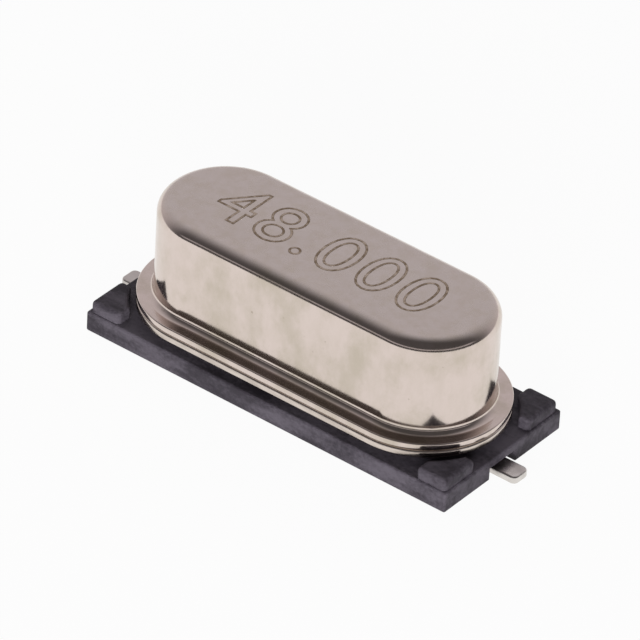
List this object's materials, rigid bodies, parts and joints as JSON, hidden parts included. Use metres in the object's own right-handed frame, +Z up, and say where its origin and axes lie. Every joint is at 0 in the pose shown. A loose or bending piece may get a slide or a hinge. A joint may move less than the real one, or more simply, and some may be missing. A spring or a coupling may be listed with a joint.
{
  "type": "crystal resonator",
  "caption": "Low-profile quartz crystal resonator: sealed metal can with a welded flange on a moulded insulating carrier, with flat bent leads for surface mounting.",
  "frame": {"origin": "middle of the underside, on the board surface that the carrier and the lead feet stand on", "axes": "+X along the length of the can, through both lead feet; +Z up, away from the board; +Y completes the right-handed frame"},
  "size_m": [0.0126, 0.0046, 0.0039],
  "materials": {
    "nickel_can": "satin drawn nickel, warm grey",
    "nickel_header": "nickel-plated steel, satin",
    "moulded_resin": "dark grey glass-filled moulding resin, matt",
    "seal_glass": "dark fused sealing glass",
    "tinned_lead": "tin-plated wire, soft sheen",
    "clip_metal": "thin nickel silver strip",
    "silver_adhesive": "cured silver-filled adhesive, matt",
    "quartz": "lapped clear quartz",
    "silver_film": "evaporated silver film"
  },
  "bodies": {
    "root": {"metal_cap": "nickel_can", "header_plate": "nickel_header", "insulator_base": "moulded_resin", "glass_seal_left": "seal_glass", "glass_seal_right": "seal_glass", "lead_left": "tinned_lead", "lead_right": "tinned_lead", "spring_clip_left": "clip_metal", "spring_clip_right": "clip_metal", "adhesive_left": "silver_adhesive", "adhesive_right": "silver_adhesive", "crystal_blank": "quartz", "electrode_top": "silver_film", "electrode_bottom": "silver_film"}
  },
  "joints": []
}
